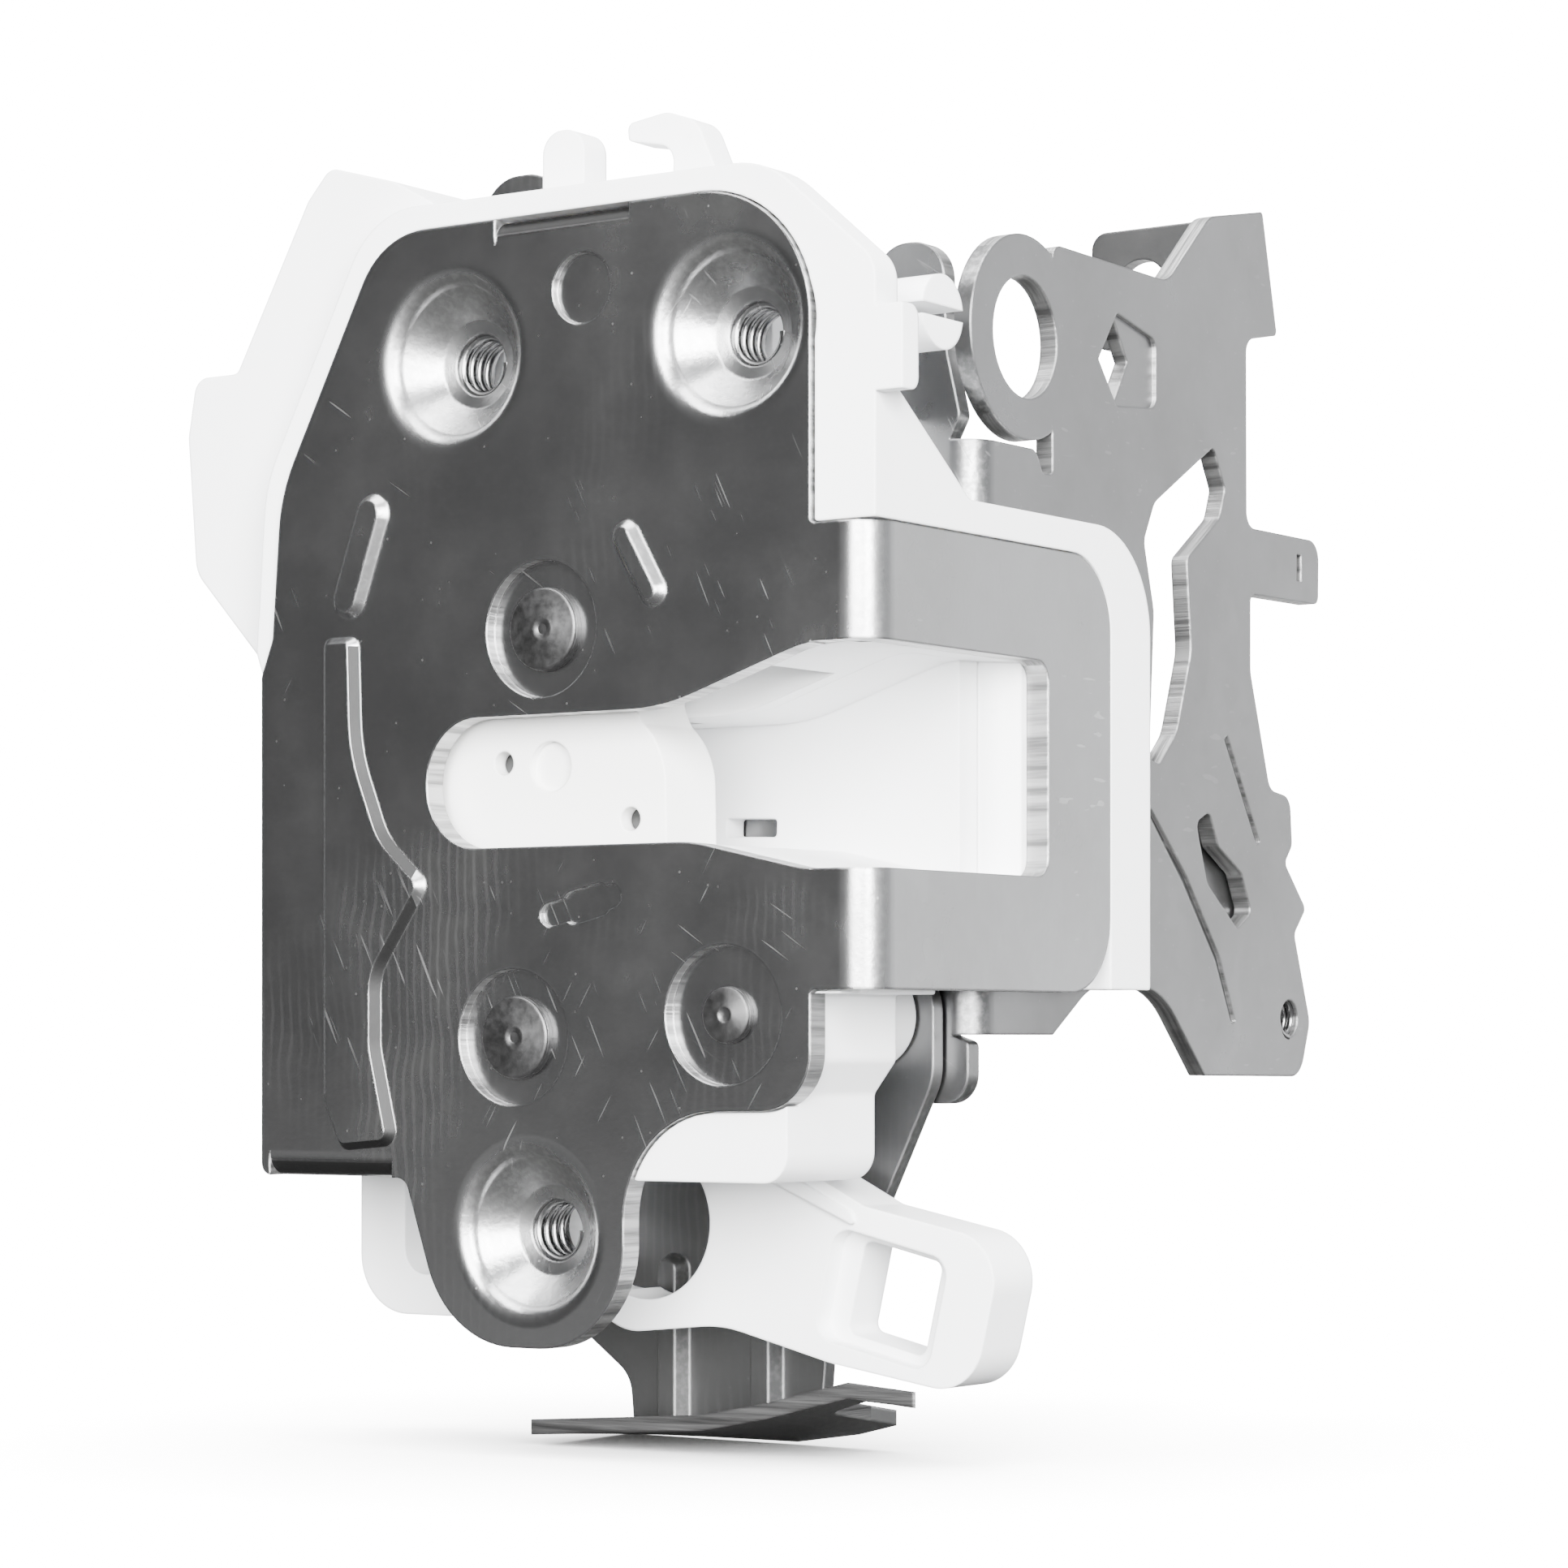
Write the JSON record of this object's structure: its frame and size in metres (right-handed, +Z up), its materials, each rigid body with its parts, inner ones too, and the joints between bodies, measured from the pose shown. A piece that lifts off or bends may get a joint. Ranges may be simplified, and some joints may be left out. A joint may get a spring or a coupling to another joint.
{
  "type": "door latch actuator",
  "caption": "Side door latch of a vehicle: zinc plated face plate, moulded housing, bent bracket, claw, pawl and levers.",
  "frame": {"origin": "axis of the latched striker where it crosses the outer face of the face plate", "axes": "+X along the face plate, towards the side the striker comes in from; +Y into the door, away from the outer face of the face plate; +Z up"},
  "size_m": [0.0741, 0.0816, 0.1068],
  "materials": {
    "zinc_steel": "zinc plated sheet, lightly scratched",
    "dark_steel": "hardened, fine blanked",
    "pin_steel": "turned and riveted",
    "spring_steel": "drawn wire",
    "motor_can": "nickel plated can",
    "white_plastic": "natural moulding, satin",
    "ivory_plastic": "natural moulding round steel",
    "black_rubber": "moulded rubber"
  },
  "bodies": {
    "root": {"face_plate": "zinc_steel", "housing": "white_plastic", "rear_housing": "white_plastic", "lock_bush": "white_plastic", "spacer_sleeve": "white_plastic", "drive_lid": "white_plastic", "drive_lid_screws": "dark_steel", "bracket": "zinc_steel", "claw_pin": "pin_steel", "pawl_pin": "pin_steel", "spacer_rivet": "pin_steel", "striker_buffer": "black_rubber", "claw_stop": "black_rubber", "pawl_stop": "black_rubber", "lock_motor": "motor_can", "claw_spring": "spring_steel", "inside_rivet": "pin_steel"},
    "claw": {"claw_core": "dark_steel", "claw_jacket": "ivory_plastic"},
    "pawl": {"pawl_core": "dark_steel", "pawl_cover": "ivory_plastic", "pawl_tail_pin": "pin_steel"},
    "open_lever": {"open_lever": "zinc_steel"},
    "lock_lever": {"lock_lever": "white_plastic"},
    "inside_lever": {"inside_lever": "zinc_steel"}
  },
  "joints": [
    {"name": "claw_turn", "type": "hinge", "parent": "root", "child": "claw", "pos_m": [0.0038, 0.0066, 0.0119], "axis": [0, -1, 0], "range_deg": [-85, 0], "stiffness_Nm_per_rad": 0.02, "springref_deg": 17.19},
    {"name": "pawl_turn", "type": "hinge", "parent": "root", "child": "pawl", "pos_m": [0.001, 0.0066, -0.0202], "axis": [0, -1, 0], "range_deg": [-6, 9]},
    {"name": "open_lever_turn", "type": "hinge", "parent": "root", "child": "open_lever", "pos_m": [0.02135, 0.0216, -0.0185], "axis": [0, -1, 0], "range_deg": [-9, 6]},
    {"name": "lock_lever_turn", "type": "hinge", "parent": "root", "child": "lock_lever", "pos_m": [0.001, 0.0158, -0.0202], "axis": [0, -1, 0], "range_deg": [-3, 8]},
    {"name": "inside_lever_turn", "type": "hinge", "parent": "root", "child": "inside_lever", "pos_m": [0.0274, 0.036, -0.008], "axis": [1, 0, 0], "range_deg": [-8, 10]}
  ],
  "couplings": [
    {"joint": "open_lever_turn", "follows": "pawl_turn", "ratio": -1}
  ]
}
